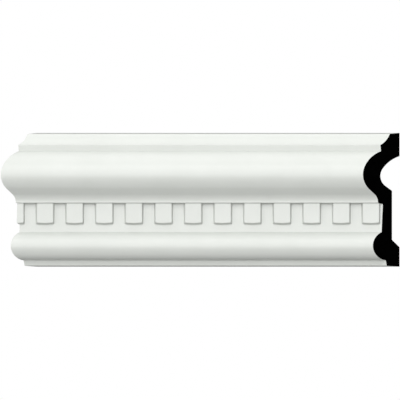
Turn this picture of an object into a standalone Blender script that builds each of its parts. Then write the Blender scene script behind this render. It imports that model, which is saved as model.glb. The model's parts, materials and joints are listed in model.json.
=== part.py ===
"""Dentil moulding: one casting with a hollow back, a row of dentils and mitre-cut ends.

The wall is the plane y = 0 and the front faces -Y. X runs along the moulding. Z is up, and the
origin is the middle of the lower land, the flat band at the back that rests on the wall.
"""

import math

import bmesh
import bpy
from mathutils import Matrix, Vector

# Sizes are in metres. A projection is measured out from the wall, a rise up from the bottom
# edge and a drop down from the top. A slope is the draft of a face, an angle in radians.

# The whole piece
LENGTH = 0.379
HEIGHT = 0.140
MITRE = math.radians(45)

# Top face, cove and fillet
TOP_DEPTH = 0.0102
TOP_SLOPE = math.radians(6)
COVE_RADIUS = 0.0224
NOSE_PROJECTION = 0.0200
NOSE_DROP = 0.0127
FILLET_HEIGHT = 0.0065
FILLET_SLOPE = math.radians(5)

# Cushion, then a short straight slant and the hollow neck under it. A lean is counted from
# straight down, outwards.
CUSHION_LEAN = math.radians(70.2)
CUSHION_UPPER_RADIUS = 0.0296
CUSHION_UPPER_TURN = math.radians(46)
CUSHION_LOWER_RADIUS = 0.0211
CUSHION_LOWER_TURN = math.radians(70.8)
NECK_SLANT = 0.0077
NECK_RADIUS = 0.0112
NECK_TURN = math.radians(50.9)

# Soffit and frieze
SOFFIT_DEPTH = 0.0051
SOFFIT_SLOPE = math.radians(15)
FRIEZE_FOOT_RISE = 0.0361
FRIEZE_SLOPE = math.radians(2.5)

# Dentils
DENTIL_PITCH = 0.0310
DENTIL_END_INSET = 0.0299
DENTIL_WIDTH = 0.0169
DENTIL_HEIGHT = 0.0207
DENTIL_SET_BACK = 0.0016
DENTIL_CORNER_RADIUS = 0.0013
DENTIL_FOOT_BOW = 0.0005
DENTIL_FOOT_RADIUS = 0.020
DENTIL_FACE_SLOPE = math.radians(1.5)
DENTIL_SIDE_SLOPE = math.radians(25)
DENTIL_FOOT_SLOPE = math.radians(32)
DENTIL_ROOT = 0.0020

# Bead, base fillet and bottom face
BEAD_RADIUS = 0.01547
BEAD_FOOT_PROJECTION = 0.0145
BEAD_FOOT_RISE = 0.0067
BASE_SLOPE = math.radians(12)
BOTTOM_SLOPE = math.radians(4)

# Back: two lands on the wall, the hollow behind the cushion and the shallower channel below it
UPPER_LAND = 0.0244
LOWER_LAND = 0.0205
HOLLOW_LEAN = math.radians(72)
HOLLOW_UPPER_RADIUS = 0.0346
HOLLOW_UPPER_TURN = math.radians(37)
HOLLOW_LOWER_RADIUS = 0.0131
HOLLOW_LOWER_TURN = math.radians(88.1)
CHANNEL_DEPTH = 0.0079
CHANNEL_SPLAY = math.radians(44)

# Fineness of the arcs, how far the uncut blank and the cutters run past the piece, how close
# two points are to be one, and the sharpest bend that is still shaded as a curve
ARC_CHORD = 0.0016
ARC_STEPS_LEAST = 5
CUT_ALLOWANCE = 0.010
MERGE_DISTANCE = 0.00001
SMOOTH_ANGLE = math.radians(20)

PRIMER_WHITE = (0.84, 0.86, 0.83, 1.0)
PRIMER_ROUGHNESS = 0.35
SECTION_BLACK = (0.003, 0.003, 0.003, 1.0)
SECTION_ROUGHNESS = 0.9


def clear_scene():
    for old in list(bpy.data.objects):
        bpy.data.objects.remove(old, do_unlink=True)


def new_collection(name):
    collection = bpy.data.collections.new(name)
    bpy.context.scene.collection.children.link(collection)
    return collection


def principled(name, colour, roughness):
    material = bpy.data.materials.new(name)
    material.use_nodes = True
    shader = material.node_tree.nodes["Principled BSDF"]
    shader.inputs["Base Color"].default_value = colour
    shader.inputs["Roughness"].default_value = roughness
    shader.inputs["Metallic"].default_value = 0.0
    material.diffuse_color = colour
    return material


def arc_steps(radius, turn):
    return max(ARC_STEPS_LEAST, math.ceil(abs(turn) * radius / ARC_CHORD))


def arc_along(start, lean, radius, turn):
    """Points after start on an arc that leaves it at the given lean.

    A positive turn bends the line back towards the wall, a negative one bends it outwards.
    Gives the points and the lean that the line ends with.
    """
    side = math.copysign(radius, turn)
    centre = start - side * Vector((math.cos(lean), math.sin(lean)))
    steps = arc_steps(radius, turn)
    leans = [lean - turn * step / steps for step in range(1, steps + 1)]
    points = [centre + side * Vector((math.cos(angle), math.sin(angle))) for angle in leans]
    return points, leans[-1]


def arc_between(start, end, radius, side):
    """Points after start on the shorter arc to end, with its centre left (1) or right (-1)."""
    half = (end - start) / 2
    offset = math.sqrt(max(radius**2 - half.length_squared, 0.0))
    centre = start + half + side * offset * Vector((-half.y, half.x)).normalized()
    first = start - centre
    turn = side * 2 * math.asin(min(half.length / radius, 1.0))
    steps = arc_steps(radius, turn)
    turns = [Matrix.Rotation(turn * step / steps, 2) for step in range(1, steps + 1)]
    return [centre + rotation @ first for rotation in turns]


def rounded_corner(before, corner, after, radius):
    """Points of an arc that touches both sides of a corner."""
    to_before = (before - corner).normalized()
    to_after = (after - corner).normalized()
    half_angle = to_before.angle(to_after) / 2
    reach = radius / math.tan(half_angle)
    start = corner + reach * to_before
    end = corner + reach * to_after
    side = 1 if to_before.x * to_after.y < to_before.y * to_after.x else -1
    return [start] + arc_between(start, end, radius, side)


def front_profile():
    """The front from the wall at the top to the wall at the bottom, as (projection, rise).

    Gives the line, and the neck's foot and the soffit's back, where the dentils start.
    """
    top_front = Vector((TOP_DEPTH, HEIGHT - TOP_DEPTH * math.tan(TOP_SLOPE)))
    nose = Vector((NOSE_PROJECTION, HEIGHT - NOSE_DROP))
    fillet_foot = nose - FILLET_HEIGHT * Vector((math.tan(FILLET_SLOPE), 1))
    cove = arc_between(top_front, nose, COVE_RADIUS, 1)

    upper, lean = arc_along(fillet_foot, CUSHION_LEAN, CUSHION_UPPER_RADIUS, CUSHION_UPPER_TURN)
    lower, lean = arc_along(upper[-1], lean, CUSHION_LOWER_RADIUS, CUSHION_LOWER_TURN)
    slant_foot = lower[-1] + NECK_SLANT * Vector((math.sin(lean), -math.cos(lean)))
    neck, lean = arc_along(slant_foot, lean, NECK_RADIUS, -NECK_TURN)
    neck_foot = neck[-1]

    soffit_back = neck_foot - SOFFIT_DEPTH * Vector((1, math.tan(SOFFIT_SLOPE)))
    frieze_drop = soffit_back.y - FRIEZE_FOOT_RISE
    frieze_foot = soffit_back + frieze_drop * Vector((math.tan(FRIEZE_SLOPE), -1))
    bead_foot = Vector((BEAD_FOOT_PROJECTION, BEAD_FOOT_RISE))
    bead = arc_between(frieze_foot, bead_foot, BEAD_RADIUS, -1)

    # The base fillet runs down to the bottom face, which rises from the wall's corner.
    base_tan = math.tan(BASE_SLOPE)
    bottom_tan = math.tan(BOTTOM_SLOPE)
    base_drop = (bead_foot.y - bead_foot.x * bottom_tan) / (1 - base_tan * bottom_tan)
    base_foot = bead_foot - base_drop * Vector((base_tan, 1))

    line = [Vector((0, HEIGHT)), top_front]
    line += cove
    line += [fillet_foot]
    line += upper + lower + [slant_foot] + neck
    line += [soffit_back, frieze_foot]
    line += bead
    line += [base_foot, Vector((0, 0))]
    return line, neck_foot, soffit_back


def back_profile():
    """The hollow back from the upper land down to the lower one, as (projection, rise)."""
    hollow_top = Vector((0, HEIGHT - UPPER_LAND))
    upper, lean = arc_along(hollow_top, HOLLOW_LEAN, HOLLOW_UPPER_RADIUS, HOLLOW_UPPER_TURN)
    lower, lean = arc_along(upper[-1], lean, HOLLOW_LOWER_RADIUS, HOLLOW_LOWER_TURN)
    hollow_foot = lower[-1]
    channel_top = hollow_foot + (hollow_foot.x - CHANNEL_DEPTH) * Vector((-1, 1 / math.tan(lean)))
    channel_foot = Vector((CHANNEL_DEPTH, LOWER_LAND + CHANNEL_DEPTH * math.tan(CHANNEL_SPLAY)))
    return [hollow_top] + upper + lower + [channel_top, channel_foot, Vector((0, LOWER_LAND))]


def extruded_outline(name, outline, thickness):
    """A mesh object: a flat outline in its own XY plane, extruded both ways along its Z."""
    curve = bpy.data.curves.new(name, "CURVE")
    curve.dimensions = "2D"
    curve.fill_mode = "BOTH"
    curve.extrude = thickness / 2
    spline = curve.splines.new("POLY")
    spline.points.add(len(outline) - 1)
    for point, place in zip(spline.points, outline):
        point.co = (place.x, place.y, 0, 1)
    spline.use_cyclic_u = True

    flat = bpy.data.objects.new(name + "_outline", curve)
    bpy.context.scene.collection.objects.link(flat)
    mesh = bpy.data.meshes.new_from_object(flat.evaluated_get(bpy.context.evaluated_depsgraph_get()))
    bpy.data.objects.remove(flat)

    solid = bmesh.new()
    solid.from_mesh(mesh)
    bmesh.ops.remove_doubles(solid, verts=solid.verts, dist=MERGE_DISTANCE)
    solid.to_mesh(mesh)
    solid.free()
    mesh.name = name
    return bpy.data.objects.new(name, mesh)


def make_blank(collection, material):
    """The plain moulding, longer than the finished piece at both ends."""
    front, neck_foot, soffit_back = front_profile()
    outline = front + back_profile()[::-1]
    reach = max(point.x for point in outline) * math.tan(MITRE)
    start = -LENGTH / 2 - reach - CUT_ALLOWANCE
    end = LENGTH / 2 + CUT_ALLOWANCE
    section = [Vector((-point.x, point.y - LOWER_LAND / 2)) for point in outline]
    blank = extruded_outline("dentil_moulding", section, end - start)
    blank.data.transform(Matrix(((0, 0, 1, 0), (1, 0, 0, 0), (0, 1, 0, 0), (0, 0, 0, 1))))
    blank.location.x = (start + end) / 2
    blank.data.materials.clear()
    blank.data.materials.append(material)
    collection.objects.link(blank)
    return blank, neck_foot, soffit_back


def dentil_outline():
    """One dentil's front face, centred on X, from its root above the soffit down to its foot."""
    half = DENTIL_WIDTH / 2
    top_left = Vector((-half, DENTIL_ROOT))
    top_right = Vector((half, DENTIL_ROOT))
    left = Vector((-half, -DENTIL_HEIGHT))
    right = Vector((half, -DENTIL_HEIGHT))
    foot = Vector((0, -DENTIL_HEIGHT - DENTIL_FOOT_BOW))
    outline = [top_left]
    outline += rounded_corner(top_left, left, foot, DENTIL_CORNER_RADIUS)
    outline += rounded_corner(left, foot, right, DENTIL_FOOT_RADIUS)
    outline += rounded_corner(foot, right, top_right, DENTIL_CORNER_RADIUS)
    outline += [top_right]
    return outline


def make_dentils(collection, material, neck_foot, soffit_back):
    """The row of dentils, from the whole one near the right end to the one the left cut halves.

    Each one widens towards the frieze by its drafts and is rooted behind the frieze's face. Its
    own face leans out towards its foot, and is set back from the lip at the lip's height.
    """
    front = neck_foot.x - DENTIL_SET_BACK
    depth = front - soffit_back.x + DENTIL_ROOT
    tooth = extruded_outline("dentil", dentil_outline(), depth)
    wider = 1 + depth * math.tan(DENTIL_SIDE_SLOPE) / (DENTIL_WIDTH / 2)
    longer = 1 + depth * math.tan(DENTIL_FOOT_SLOPE) / DENTIL_HEIGHT
    for vertex in tooth.data.vertices:
        if vertex.co.z < 0:
            vertex.co.x *= wider
            if vertex.co.y < 0:
                vertex.co.y *= longer
        else:
            vertex.co.z -= vertex.co.y * math.tan(DENTIL_FACE_SLOPE)
    tooth.data.transform(Matrix.Rotation(math.radians(90), 4, "X"))
    tooth.data.materials.clear()
    tooth.data.materials.append(material)

    last = LENGTH / 2 - DENTIL_END_INSET
    row_length = last + LENGTH / 2 + front * math.tan(MITRE) + DENTIL_WIDTH / 2
    for number in range(int(row_length / DENTIL_PITCH) + 1):
        dentil = bpy.data.objects.new(f"dentil_{number + 1}", tooth.data)
        dentil.location.x = last - number * DENTIL_PITCH
        dentil.location.y = depth / 2 - front
        dentil.location.z = neck_foot.y - LOWER_LAND / 2
        hide_guide(dentil)
        collection.objects.link(dentil)
    bpy.data.objects.remove(tooth)


def hide_guide(guide):
    guide.display_type = "WIRE"
    guide.hide_render = True


def make_mitre_cutter(name, collection, material, end):
    """A box that takes off everything beyond one end's mitre plane: end is 1 right, -1 left."""
    projection = NOSE_PROJECTION + CUSHION_UPPER_RADIUS
    thickness = 2 * projection + CUT_ALLOWANCE
    outwards = Vector((math.cos(MITRE), -math.sin(MITRE), 0)) * end
    bpy.ops.mesh.primitive_cube_add(size=1)
    cutter = bpy.context.object
    cutter.name = name
    cutter.scale = (thickness, 4 * projection, HEIGHT + 2 * CUT_ALLOWANCE)
    cutter.rotation_euler.z = -MITRE
    cutter.location = Vector((end * LENGTH / 2, 0, HEIGHT / 2 - LOWER_LAND / 2))
    cutter.location += outwards * thickness / 2
    cutter.data.materials.append(material)
    hide_guide(cutter)
    for holder in list(cutter.users_collection):
        holder.objects.unlink(cutter)
    collection.objects.link(cutter)
    return cutter


def add_boolean(target, name, operation):
    boolean = target.modifiers.new(name, "BOOLEAN")
    boolean.operation = operation
    boolean.solver = "EXACT"
    boolean.material_mode = "TRANSFER"
    return boolean


def apply_modifiers(target):
    depsgraph = bpy.context.evaluated_depsgraph_get()
    mesh = bpy.data.meshes.new_from_object(target.evaluated_get(depsgraph))
    target.modifiers.clear()
    target.data = mesh


def shade(target):
    target.data.shade_smooth()
    target.data.set_sharp_from_angle(angle=SMOOTH_ANGLE)


def main():
    clear_scene()
    model = new_collection("dentil_moulding")
    dentils = new_collection("dentils")
    cutters = new_collection("cutters")
    primer = principled("primer_white", PRIMER_WHITE, PRIMER_ROUGHNESS)
    cut_face = principled("section_black", SECTION_BLACK, SECTION_ROUGHNESS)

    moulding, neck_foot, soffit_back = make_blank(model, primer)
    make_dentils(dentils, primer, neck_foot, soffit_back)
    union = add_boolean(moulding, "dentils", "UNION")
    union.operand_type = "COLLECTION"
    union.collection = dentils
    for name, end in (("mitre_right", 1), ("mitre_left", -1)):
        cut = add_boolean(moulding, name, "DIFFERENCE")
        cut.object = make_mitre_cutter(name, cutters, cut_face, end)
    apply_modifiers(moulding)
    shade(moulding)


main()
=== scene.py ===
"""The dentil moulding as photographed: fine mesh, primer, camera and soft studio light.

Everything is in metres in the frame's axes: the wall is y = 0, the front faces -Y, and Z is up.
"""

import json
import math

import bmesh
import bpy
from mathutils import Matrix, Vector

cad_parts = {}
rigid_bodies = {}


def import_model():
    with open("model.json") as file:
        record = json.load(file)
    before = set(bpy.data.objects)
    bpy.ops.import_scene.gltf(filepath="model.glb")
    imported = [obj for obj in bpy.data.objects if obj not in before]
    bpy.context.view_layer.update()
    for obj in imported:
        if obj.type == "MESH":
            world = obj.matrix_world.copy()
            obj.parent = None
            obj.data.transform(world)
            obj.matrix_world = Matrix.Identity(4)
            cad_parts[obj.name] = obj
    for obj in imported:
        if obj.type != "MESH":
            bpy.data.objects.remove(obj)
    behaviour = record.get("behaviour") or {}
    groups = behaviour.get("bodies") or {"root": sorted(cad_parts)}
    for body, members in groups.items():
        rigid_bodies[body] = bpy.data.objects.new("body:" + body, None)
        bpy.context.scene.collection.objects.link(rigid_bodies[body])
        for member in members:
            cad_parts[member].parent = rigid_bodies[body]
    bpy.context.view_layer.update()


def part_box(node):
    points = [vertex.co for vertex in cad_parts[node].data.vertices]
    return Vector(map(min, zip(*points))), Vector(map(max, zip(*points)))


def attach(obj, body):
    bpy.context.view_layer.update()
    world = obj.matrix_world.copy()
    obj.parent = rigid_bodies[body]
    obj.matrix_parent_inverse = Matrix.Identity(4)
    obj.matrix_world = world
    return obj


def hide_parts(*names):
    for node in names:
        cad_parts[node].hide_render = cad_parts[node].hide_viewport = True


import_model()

NODE = "dentil_moulding"

# Whole piece, from the frame
NODE_LOW, NODE_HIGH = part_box(NODE)
HEIGHT = NODE_HIGH.z - NODE_LOW.z
PROJECTION = NODE_HIGH.y - NODE_LOW.y
BASE_Z = NODE_LOW.z
MITRE = math.radians(45)
LENGTH = NODE_HIGH.x - NODE_LOW.x - PROJECTION * math.tan(MITRE)
RIGHT_END = NODE_HIGH.x

# Section, as in the solid. A projection is out from the wall, a rise up from the bottom edge.
TOP_DEPTH = 0.0102
TOP_SLOPE = math.radians(6)
COVE_RADIUS = 0.0224
NOSE_PROJECTION = 0.0200
NOSE_DROP = 0.0127
FILLET_HEIGHT = 0.0065
FILLET_SLOPE = math.radians(5)
CUSHION_LEAN = math.radians(70.2)
CUSHION_UPPER_RADIUS = 0.0296
CUSHION_UPPER_TURN = math.radians(46)
CUSHION_LOWER_RADIUS = 0.0211
CUSHION_LOWER_TURN = math.radians(70.8)
NECK_SLANT = 0.0077
NECK_RADIUS = 0.0112
NECK_TURN = math.radians(50.9)
SOFFIT_DEPTH = 0.0051
SOFFIT_SLOPE = math.radians(15)
FRIEZE_FOOT_RISE = 0.0361
FRIEZE_SLOPE = math.radians(2.5)
BEAD_RADIUS = 0.01547
BEAD_FOOT_PROJECTION = 0.0145
BEAD_FOOT_RISE = 0.0067
BASE_SLOPE = math.radians(12)
BOTTOM_SLOPE = math.radians(4)
UPPER_LAND = 0.0244
LOWER_LAND = 0.0205
HOLLOW_LEAN = math.radians(72)
HOLLOW_UPPER_RADIUS = 0.0346
HOLLOW_UPPER_TURN = math.radians(37)
HOLLOW_LOWER_RADIUS = 0.0131
HOLLOW_LOWER_TURN = math.radians(88.1)
CHANNEL_DEPTH = 0.0079
CHANNEL_SPLAY = math.radians(44)

# Dentils
DENTIL_PITCH = 0.0310
DENTIL_END_INSET = 0.0299
DENTIL_WIDTH = 0.0169
DENTIL_HEIGHT = 0.0207
DENTIL_SET_BACK = 0.0016
DENTIL_CORNER_RADIUS = 0.0013
DENTIL_FOOT_BOW = 0.0005
DENTIL_FOOT_RADIUS = 0.020
DENTIL_FACE_SLOPE = math.radians(1.5)
DENTIL_SIDE_SLOPE = math.radians(25)
DENTIL_FOOT_SLOPE = math.radians(32)
DENTIL_ROOT = 0.0020
DENTIL_EDGE_RADIUS = 0.0004
DENTIL_EDGE_STEPS = 4

# How far the cast and painted edges are rounded
ARRIS = 0.0005
LIP_ARRIS = 0.0007
BASE_ARRIS = 0.0007
CREASE = 0.0002
BACK_EDGE = 0.0003

# Fineness of the arcs, how far the uncut blank and the cutters run past the piece, how close
# two points are to be one, and the sharpest bend that is still shaded as a curve
ARC_CHORD = 0.0005
ARC_STEPS_LEAST = 6
CUT_ALLOWANCE = 0.010
MERGE_DISTANCE = 0.000001
SMOOTH_ANGLE = math.radians(30)

# The photograph: a square frame, the moulding seen straight from the front
PHOTO_SIDE_PX = 400
PHOTO_HEIGHT_PX = 133.80
PHOTO_RIGHT_PX = 399.54
PHOTO_BOTTOM_PX = 266.70
CAMERA_DISTANCE = 5.0
CAMERA_REACH = 40

# The part of a noise's range that is spread over a material's own range
NOISE_SPREAD = (0.3, 0.7)

# Primer. A grain is the size of one lump of a noise, a detail how many finer layers it has.
PRIMER = (0.806, 0.830, 0.790)
PRIMER_THIN = (0.781, 0.806, 0.764)
PRIMER_SPECULAR = 0.5
PRIMER_ROUGHNESS = (0.31, 0.40)
MOTTLE_GRAIN = 0.030
MOTTLE_DETAIL = 4
GLOSS_GRAIN = 0.012
GLOSS_DETAIL = 3
SPRAY_GRAIN = 0.0009
SPRAY_DETAIL = 2
SPRAY_HEIGHT = 0.000012
# Painted shade: ambient occlusion darkens the primer's colour in creases, over this reach, down to
# this share
CREASE_SHADE_REACH = 0.030
CREASE_SHADE = 0.60
CREASE_SHADE_SAMPLES = 8

# Sawn ends
SECTION_BLACK = (0.0004, 0.0004, 0.0004)
SECTION_DUST = (0.0012, 0.0012, 0.0012)
SECTION_ROUGHNESS = 1.0
SECTION_SPECULAR = 0.0
DUST_GRAIN = 0.004
DUST_DETAIL = 5
PORE_GRAIN = 0.0006
PORE_DETAIL = 2
PORE_HEIGHT = 0.00008

# Floor, and what the camera sees behind the object. HORIZON is the height, in a view
# direction of length 1, over which the far floor's grey gives way to the white.
FLOOR_GREY = (0.90, 0.90, 0.89)
FLOOR_ROUGHNESS = 0.9
FLOOR_SPECULAR = 0.1
FLOOR_SIZE = 16
FLOOR_GAP = 0.0002
BACKGROUND = (1.0, 1.0, 1.0)
FAR_FLOOR = (0.66, 0.66, 0.65)
HORIZON = (-0.02, -0.01)

# Soft lamps, each as (azimuth, elevation, strength, spread). An azimuth is counted from the
# front, positive to the right. Angles are in degrees and strengths in W/m2.
LAMPS = {
    "front": (0, 12, 1.84, 50),
    "front_high": (-10, 45, 0.64, 20),
    "overhead": (0, 90, 0.99, 50),
    "left": (-70, 12, 0.61, 50),
    "bounce": (0, -85, 0.48, 50),
    "behind_left": (-140, -5, 1.20, 30),
    "behind_right": (140, -5, 1.20, 30),
}
SURROUND_STRENGTH = 0.10


def arc_steps(radius, turn):
    return max(ARC_STEPS_LEAST, math.ceil(abs(turn) * radius / ARC_CHORD))


def arc_along(start, lean, radius, turn):
    """Points after start on an arc that leaves it at the given lean, and the lean it ends with.

    A lean is counted from straight down, outwards. A positive turn bends back to the wall.
    """
    side = math.copysign(radius, turn)
    centre = start - side * Vector((math.cos(lean), math.sin(lean)))
    steps = arc_steps(radius, turn)
    leans = [lean - turn * step / steps for step in range(1, steps + 1)]
    points = [centre + side * Vector((math.cos(angle), math.sin(angle))) for angle in leans]
    return points, leans[-1]


def arc_between(start, end, radius, side):
    """Points after start on the shorter arc to end, with its centre left (1) or right (-1)."""
    half = (end - start) / 2
    offset = math.sqrt(max(radius**2 - half.length_squared, 0.0))
    centre = start + half + side * offset * Vector((-half.y, half.x)).normalized()
    first = start - centre
    turn = side * 2 * math.asin(min(half.length / radius, 1.0))
    steps = arc_steps(radius, turn)
    turns = [Matrix.Rotation(turn * step / steps, 2) for step in range(1, steps + 1)]
    return [centre + rotation @ first for rotation in turns]


def rounded_corner(before, corner, after, radius):
    """Points of an arc that touches both sides of a corner."""
    to_before = (before - corner).normalized()
    to_after = (after - corner).normalized()
    half_angle = to_before.angle(to_after) / 2
    reach = radius / math.tan(half_angle)
    start = corner + reach * to_before
    end = corner + reach * to_after
    side = 1 if to_before.x * to_after.y < to_before.y * to_after.x else -1
    return [start] + arc_between(start, end, radius, side)


def smooth(points):
    return [(point, 0.0) for point in points]


def soften(line):
    """A closed line of (point, rounding) as plain points, each rounded corner as an arc."""
    points = []
    for index, (point, radius) in enumerate(line):
        if radius:
            before = line[index - 1][0]
            after = line[(index + 1) % len(line)][0]
            points += rounded_corner(before, point, after, radius)
        else:
            points.append(point)
    return points


def section():
    """The closed section as (projection, rise), and the neck's foot and the soffit's back."""
    top_front = Vector((TOP_DEPTH, HEIGHT - TOP_DEPTH * math.tan(TOP_SLOPE)))
    nose = Vector((NOSE_PROJECTION, HEIGHT - NOSE_DROP))
    cove = arc_between(top_front, nose, COVE_RADIUS, 1)[:-1]
    fillet_foot = nose - FILLET_HEIGHT * Vector((math.tan(FILLET_SLOPE), 1))
    upper, lean = arc_along(fillet_foot, CUSHION_LEAN, CUSHION_UPPER_RADIUS, CUSHION_UPPER_TURN)
    lower, lean = arc_along(upper[-1], lean, CUSHION_LOWER_RADIUS, CUSHION_LOWER_TURN)
    slant_foot = lower[-1] + NECK_SLANT * Vector((math.sin(lean), -math.cos(lean)))
    neck, lean = arc_along(slant_foot, lean, NECK_RADIUS, -NECK_TURN)
    neck_foot = neck.pop()

    soffit_back = neck_foot - SOFFIT_DEPTH * Vector((1, math.tan(SOFFIT_SLOPE)))
    frieze_drop = soffit_back.y - FRIEZE_FOOT_RISE
    frieze_foot = soffit_back + frieze_drop * Vector((math.tan(FRIEZE_SLOPE), -1))
    bead_foot = Vector((BEAD_FOOT_PROJECTION, BEAD_FOOT_RISE))
    bead = arc_between(frieze_foot, bead_foot, BEAD_RADIUS, -1)[:-1]

    base_tan = math.tan(BASE_SLOPE)
    bottom_tan = math.tan(BOTTOM_SLOPE)
    base_drop = (bead_foot.y - bead_foot.x * bottom_tan) / (1 - base_tan * bottom_tan)
    base_foot = bead_foot - base_drop * Vector((base_tan, 1))

    hollow_top = Vector((0, HEIGHT - UPPER_LAND))
    hollow, lean = arc_along(hollow_top, HOLLOW_LEAN, HOLLOW_UPPER_RADIUS, HOLLOW_UPPER_TURN)
    crown, lean = arc_along(hollow[-1], lean, HOLLOW_LOWER_RADIUS, HOLLOW_LOWER_TURN)
    splay = (crown[-1].x - CHANNEL_DEPTH) * Vector((-1, 1 / math.tan(lean)))
    channel_top = crown[-1] + splay
    channel_foot = Vector((CHANNEL_DEPTH, LOWER_LAND + CHANNEL_DEPTH * math.tan(CHANNEL_SPLAY)))

    line = [(Vector((0, HEIGHT)), BACK_EDGE), (top_front, ARRIS)]
    line += smooth(cove)
    line += [(nose, ARRIS), (fillet_foot, CREASE)]
    line += smooth(upper + lower + [slant_foot] + neck)
    line += [(neck_foot, LIP_ARRIS), (soffit_back, CREASE), (frieze_foot, CREASE)]
    line += smooth(bead)
    line += [(bead_foot, CREASE), (base_foot, BASE_ARRIS), (Vector((0, 0)), BACK_EDGE)]
    line += [(Vector((0, LOWER_LAND)), BACK_EDGE), (channel_foot, CREASE), (channel_top, CREASE)]
    line += smooth((hollow + crown)[::-1])
    line += [(hollow_top, BACK_EDGE)]
    return soften(line), neck_foot, soffit_back


def extruded_outline(name, outline, thickness):
    """A mesh object: a flat outline in its own XY plane, extruded both ways along its Z."""
    curve = bpy.data.curves.new(name, "CURVE")
    curve.dimensions = "2D"
    curve.fill_mode = "BOTH"
    curve.extrude = thickness / 2
    spline = curve.splines.new("POLY")
    spline.points.add(len(outline) - 1)
    for point, place in zip(spline.points, outline):
        point.co = (place.x, place.y, 0, 1)
    spline.use_cyclic_u = True

    flat = bpy.data.objects.new(name + "_outline", curve)
    bpy.context.scene.collection.objects.link(flat)
    mesh = bpy.data.meshes.new_from_object(flat.evaluated_get(bpy.context.evaluated_depsgraph_get()))
    bpy.data.objects.remove(flat)

    solid = bmesh.new()
    solid.from_mesh(mesh)
    bmesh.ops.remove_doubles(solid, verts=solid.verts, dist=MERGE_DISTANCE)
    solid.to_mesh(mesh)
    solid.free()
    return bpy.data.objects.new(name, mesh)


def give_material(obj, material):
    obj.data.materials.clear()
    obj.data.materials.append(material)


def make_blank(material):
    """The plain moulding, longer than the finished piece at both ends."""
    outline, neck_foot, soffit_back = section()
    start = RIGHT_END - LENGTH - PROJECTION * math.tan(MITRE) - CUT_ALLOWANCE
    end = RIGHT_END + CUT_ALLOWANCE
    flat = [Vector((-point.x, point.y + BASE_Z)) for point in outline]
    blank = extruded_outline("moulding", flat, end - start)
    # The outline's own X, Y and Z turn into the piece's Y, Z and X.
    blank.data.transform(Matrix(((0, 0, 1, 0), (1, 0, 0, 0), (0, 1, 0, 0), (0, 0, 0, 1))))
    blank.data.transform(Matrix.Translation(((start + end) / 2, 0, 0)))
    give_material(blank, material)
    bpy.context.scene.collection.objects.link(blank)
    return blank, neck_foot, soffit_back


def dentil_outline():
    """One dentil's front face, centred on X, from its root above the soffit down to its foot."""
    half = DENTIL_WIDTH / 2
    top_left = Vector((-half, DENTIL_ROOT))
    top_right = Vector((half, DENTIL_ROOT))
    left = Vector((-half, -DENTIL_HEIGHT))
    right = Vector((half, -DENTIL_HEIGHT))
    foot = Vector((0, -DENTIL_HEIGHT - DENTIL_FOOT_BOW))
    outline = [top_left]
    outline += rounded_corner(top_left, left, foot, DENTIL_CORNER_RADIUS)
    outline += rounded_corner(left, foot, right, DENTIL_FOOT_RADIUS)
    outline += rounded_corner(foot, right, top_right, DENTIL_CORNER_RADIUS)
    outline += [top_right]
    return outline


def round_front_edge(mesh):
    """Rounds the edge all round the front face, which lies at the mesh's highest Z."""
    front = max(vertex.co.z for vertex in mesh.vertices)
    solid = bmesh.new()
    solid.from_mesh(mesh)
    least = front - MERGE_DISTANCE
    faces = [face for face in solid.faces if all(v.co.z > least for v in face.verts)]
    bmesh.ops.dissolve_faces(solid, faces=faces)
    edges = [edge for edge in solid.edges if all(v.co.z > least for v in edge.verts)]
    bmesh.ops.bevel(
        solid,
        geom=edges,
        offset=DENTIL_EDGE_RADIUS,
        offset_type="OFFSET",
        segments=DENTIL_EDGE_STEPS,
        profile=0.5,
        affect="EDGES",
    )
    solid.to_mesh(mesh)
    solid.free()


def make_dentils(material, neck_foot, soffit_back):
    """A collection with the row of dentils, each drafted, rounded and rooted in the frieze.

    A dentil's face leans out towards its foot, and is set back from the lip at the lip's height.
    """
    front = neck_foot.x - DENTIL_SET_BACK
    depth = front - soffit_back.x + DENTIL_ROOT
    tooth = extruded_outline("dentil", dentil_outline(), depth)
    wider = 1 + depth * math.tan(DENTIL_SIDE_SLOPE) / (DENTIL_WIDTH / 2)
    longer = 1 + depth * math.tan(DENTIL_FOOT_SLOPE) / DENTIL_HEIGHT
    for vertex in tooth.data.vertices:
        if vertex.co.z < 0:
            vertex.co.x *= wider
            if vertex.co.y < 0:
                vertex.co.y *= longer
    round_front_edge(tooth.data)
    for vertex in tooth.data.vertices:
        if vertex.co.z > 0:
            vertex.co.z -= vertex.co.y * math.tan(DENTIL_FACE_SLOPE)
    tooth.data.transform(Matrix.Rotation(math.radians(90), 4, "X"))
    give_material(tooth, material)

    row = bpy.data.collections.new("dentils")
    last = RIGHT_END - DENTIL_END_INSET
    row_length = LENGTH - DENTIL_END_INSET + front * math.tan(MITRE) + DENTIL_WIDTH / 2
    for number in range(int(row_length / DENTIL_PITCH) + 1):
        dentil = bpy.data.objects.new(f"dentil_{number + 1}", tooth.data)
        dentil.location = (last - number * DENTIL_PITCH, depth / 2 - front, neck_foot.y + BASE_Z)
        row.objects.link(dentil)
    bpy.data.objects.remove(tooth)
    bpy.context.scene.collection.children.link(row)
    return row


def make_mitre_cutter(name, material, end):
    """A box that takes off everything beyond one end's mitre plane: end is 1 right, -1 left."""
    thickness = 2 * PROJECTION + CUT_ALLOWANCE
    outwards = Vector((math.cos(MITRE), -math.sin(MITRE), 0)) * end
    at_wall = Vector((RIGHT_END if end > 0 else RIGHT_END - LENGTH, 0, BASE_Z + HEIGHT / 2))
    bpy.ops.mesh.primitive_cube_add(size=1)
    cutter = bpy.context.object
    cutter.name = name
    cutter.scale = (thickness, 4 * PROJECTION, HEIGHT + 2 * CUT_ALLOWANCE)
    cutter.rotation_euler.z = -MITRE
    cutter.location = at_wall + outwards * thickness / 2
    give_material(cutter, material)
    return cutter


def add_boolean(target, name, operation):
    boolean = target.modifiers.new(name, "BOOLEAN")
    boolean.operation = operation
    boolean.solver = "EXACT"
    boolean.material_mode = "TRANSFER"
    return boolean


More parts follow.
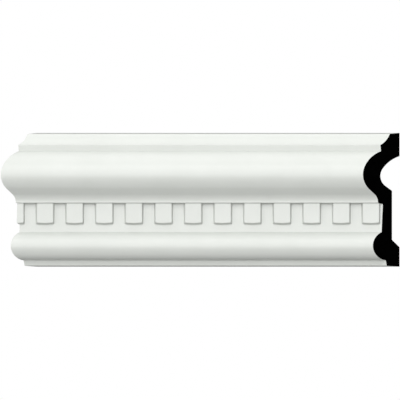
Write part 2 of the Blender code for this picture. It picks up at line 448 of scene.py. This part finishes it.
def apply_modifiers(target):
    depsgraph = bpy.context.evaluated_depsgraph_get()
    mesh = bpy.data.meshes.new_from_object(target.evaluated_get(depsgraph))
    target.modifiers.clear()
    target.data = mesh


def make_moulding(primer, cut_face):
    """The whole moulding as one closed mesh, dentils and mitres included."""
    moulding, neck_foot, soffit_back = make_blank(primer)
    row = make_dentils(primer, neck_foot, soffit_back)
    union = add_boolean(moulding, "dentils", "UNION")
    union.operand_type = "COLLECTION"
    union.collection = row
    cutters = []
    for name, end in (("mitre_right", 1), ("mitre_left", -1)):
        cutter = make_mitre_cutter(name, cut_face, end)
        add_boolean(moulding, name, "DIFFERENCE").object = cutter
        cutters.append(cutter)
    apply_modifiers(moulding)
    for helper in list(row.objects) + cutters:
        bpy.data.objects.remove(helper)
    bpy.data.collections.remove(row)

    moulding.data.shade_smooth()
    moulding.data.set_sharp_from_angle(angle=SMOOTH_ANGLE)
    flat_faces = moulding.modifiers.new("even_shading", "WEIGHTED_NORMAL")
    flat_faces.keep_sharp = True
    return moulding


def new_material(name, colour, roughness, specular):
    material = bpy.data.materials.new(name)
    material.use_nodes = True
    shader = material.node_tree.nodes["Principled BSDF"]
    shader.inputs["Base Color"].default_value = (*colour, 1)
    shader.inputs["Roughness"].default_value = roughness
    shader.inputs["Specular IOR Level"].default_value = specular
    return material, material.node_tree, shader


def add_noise(tree, place, grain, detail):
    """Noise in the piece's own metres."""
    noise = tree.nodes.new("ShaderNodeTexNoise")
    noise.inputs["Scale"].default_value = 1 / grain
    noise.inputs["Detail"].default_value = detail
    tree.links.new(place, noise.inputs["Vector"])
    return noise.outputs["Fac"]


def add_range(tree, value, source, target):
    """A value mapped from one range to another, and held at its ends."""
    mapped = tree.nodes.new("ShaderNodeMapRange")
    mapped.inputs["From Min"].default_value, mapped.inputs["From Max"].default_value = source
    mapped.inputs["To Min"].default_value, mapped.inputs["To Max"].default_value = target
    tree.links.new(value, mapped.inputs["Value"])
    return mapped.outputs["Result"]


def add_colour_mix(tree, kind, factor, first, second):
    """Two colours mixed. Each of the three inputs is a socket or a plain value."""
    mix = tree.nodes.new("ShaderNodeMix")
    mix.data_type = "RGBA"
    mix.blend_type = kind
    # The node has sockets for every kind of data, and enables those of its own kind.
    sockets = [socket for socket in mix.inputs if socket.enabled]
    for socket, given in zip(sockets, (factor, first, second), strict=True):
        if isinstance(given, bpy.types.NodeSocket):
            tree.links.new(given, socket)
        elif isinstance(given, tuple):
            socket.default_value = (*given, 1)
        else:
            socket.default_value = given
    return next(socket for socket in mix.outputs if socket.enabled)


def add_bump(tree, shader, height, distance):
    bump = tree.nodes.new("ShaderNodeBump")
    bump.inputs["Strength"].default_value = 1
    bump.inputs["Distance"].default_value = distance
    tree.links.new(height, bump.inputs["Height"])
    tree.links.new(bump.outputs["Normal"], shader.inputs["Normal"])


def make_primer():
    """Factory primer: satin white, faintly mottled, with a fine sprayed skin; shade painted into
    creases.
    """
    material, tree, shader = new_material("primer", PRIMER, PRIMER_ROUGHNESS[0], PRIMER_SPECULAR)
    place = tree.nodes.new("ShaderNodeTexCoord").outputs["Object"]
    patches = add_noise(tree, place, MOTTLE_GRAIN, MOTTLE_DETAIL)
    mottle = add_range(tree, patches, NOISE_SPREAD, (0, 1))
    coat = add_colour_mix(tree, "MIX", mottle, PRIMER, PRIMER_THIN)

    # Painted shade: ambient occlusion darkens the coat's colour in creases and recesses, where shade
    # falls
    crease_shade_ao = tree.nodes.new("ShaderNodeAmbientOcclusion")
    crease_shade_ao.samples = CREASE_SHADE_SAMPLES
    crease_shade_ao.only_local = True
    crease_shade_ao.inputs["Distance"].default_value = CREASE_SHADE_REACH
    painted_shade_factor = add_range(tree, crease_shade_ao.outputs["AO"], (0, 1), (CREASE_SHADE, 1))
    coat = add_colour_mix(tree, "MULTIPLY", 1.0, coat, painted_shade_factor)
    tree.links.new(coat, shader.inputs["Base Color"])

    sheen = add_noise(tree, place, GLOSS_GRAIN, GLOSS_DETAIL)
    roughness = add_range(tree, sheen, NOISE_SPREAD, PRIMER_ROUGHNESS)
    tree.links.new(roughness, shader.inputs["Roughness"])
    add_bump(tree, shader, add_noise(tree, place, SPRAY_GRAIN, SPRAY_DETAIL), SPRAY_HEIGHT)
    return material


def make_cut_face():
    """The sawn ends, stained dead black: fine pores and a trace of dust."""
    look = (SECTION_BLACK, SECTION_ROUGHNESS, SECTION_SPECULAR)
    material, tree, shader = new_material("cut_face", *look)
    place = tree.nodes.new("ShaderNodeTexCoord").outputs["Object"]
    specks = add_noise(tree, place, DUST_GRAIN, DUST_DETAIL)
    dust = add_range(tree, specks, NOISE_SPREAD, (0, 1))
    stain = add_colour_mix(tree, "MIX", dust, SECTION_BLACK, SECTION_DUST)
    tree.links.new(stain, shader.inputs["Base Color"])
    add_bump(tree, shader, add_noise(tree, place, PORE_GRAIN, PORE_DETAIL), PORE_HEIGHT)
    return material


def make_floor():
    """A plain pale floor, which neither throws light on the object nor keeps light from it."""
    bpy.ops.mesh.primitive_plane_add(size=FLOOR_SIZE, location=(0, 0, BASE_Z - FLOOR_GAP))
    floor = bpy.context.object
    floor.name = "floor"
    give_material(floor, new_material("floor", FLOOR_GREY, FLOOR_ROUGHNESS, FLOOR_SPECULAR)[0])
    floor.visible_diffuse = False
    floor.visible_glossy = False
    floor.visible_shadow = False


def make_lights():
    """The distant soft lamps of LAMPS. Each shines towards the origin, from any distance alike."""
    for name, (azimuth, elevation, strength, spread) in LAMPS.items():
        light = bpy.data.lights.new(name, "SUN")
        light.energy = strength
        light.angle = math.radians(spread)
        across = math.radians(azimuth)
        up = math.radians(elevation)
        flat = math.cos(up)
        source = Vector((math.sin(across) * flat, -math.cos(across) * flat, math.sin(up)))
        lamp = bpy.data.objects.new(name, light)
        lamp.location = source
        lamp.rotation_euler = source.to_track_quat("Z", "Y").to_euler()
        bpy.context.scene.collection.objects.link(lamp)


def make_world():
    """A soft even surround. The camera sees the photograph's plain white behind the object.

    Where it looks down past the floor's edge, it sees the floor's grey instead.
    """
    world = bpy.data.worlds.new("studio")
    bpy.context.scene.world = world
    world.use_nodes = True
    tree = world.node_tree
    nodes = tree.nodes
    links = tree.links
    surround = nodes["Background"]
    surround.inputs["Color"].default_value = (1, 1, 1, 1)
    surround.inputs["Strength"].default_value = SURROUND_STRENGTH
    direction = nodes.new("ShaderNodeSeparateXYZ")
    links.new(nodes.new("ShaderNodeTexCoord").outputs["Generated"], direction.inputs["Vector"])
    downwards = add_range(tree, direction.outputs["Z"], HORIZON, (1, 0))
    backdrop = nodes.new("ShaderNodeBackground")
    seen = add_colour_mix(tree, "MIX", downwards, BACKGROUND, FAR_FLOOR)
    links.new(seen, backdrop.inputs["Color"])
    path = nodes.new("ShaderNodeLightPath")
    mix = nodes.new("ShaderNodeMixShader")
    links.new(path.outputs["Is Camera Ray"], mix.inputs["Fac"])
    links.new(surround.outputs["Background"], mix.inputs[1])
    links.new(backdrop.outputs["Background"], mix.inputs[2])
    links.new(mix.outputs["Shader"], nodes["World Output"].inputs["Surface"])


def make_camera():
    """Straight from the front with no perspective, framed by the photograph's own edges."""
    metres_per_px = HEIGHT / PHOTO_HEIGHT_PX
    camera = bpy.data.cameras.new("camera")
    camera.type = "ORTHO"
    camera.ortho_scale = PHOTO_SIDE_PX * metres_per_px
    camera.clip_end = CAMERA_REACH
    obj = bpy.data.objects.new("camera", camera)
    middle = PHOTO_SIDE_PX / 2
    obj.location.x = RIGHT_END - (PHOTO_RIGHT_PX - middle) * metres_per_px
    obj.location.y = -CAMERA_DISTANCE
    obj.location.z = BASE_Z + (PHOTO_BOTTOM_PX - middle) * metres_per_px
    obj.rotation_euler.x = math.radians(90)
    bpy.context.scene.collection.objects.link(obj)
    bpy.context.scene.camera = obj


def set_colour():
    view = bpy.context.scene.view_settings
    view.view_transform = "Standard"
    view.look = "None"
    view.exposure = 0
    view.gamma = 1


primer = make_primer()
cut_face = make_cut_face()
moulding = make_moulding(primer, cut_face)
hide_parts(NODE)
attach(moulding, "root")
make_floor()
make_lights()
make_world()
make_camera()
set_colour()
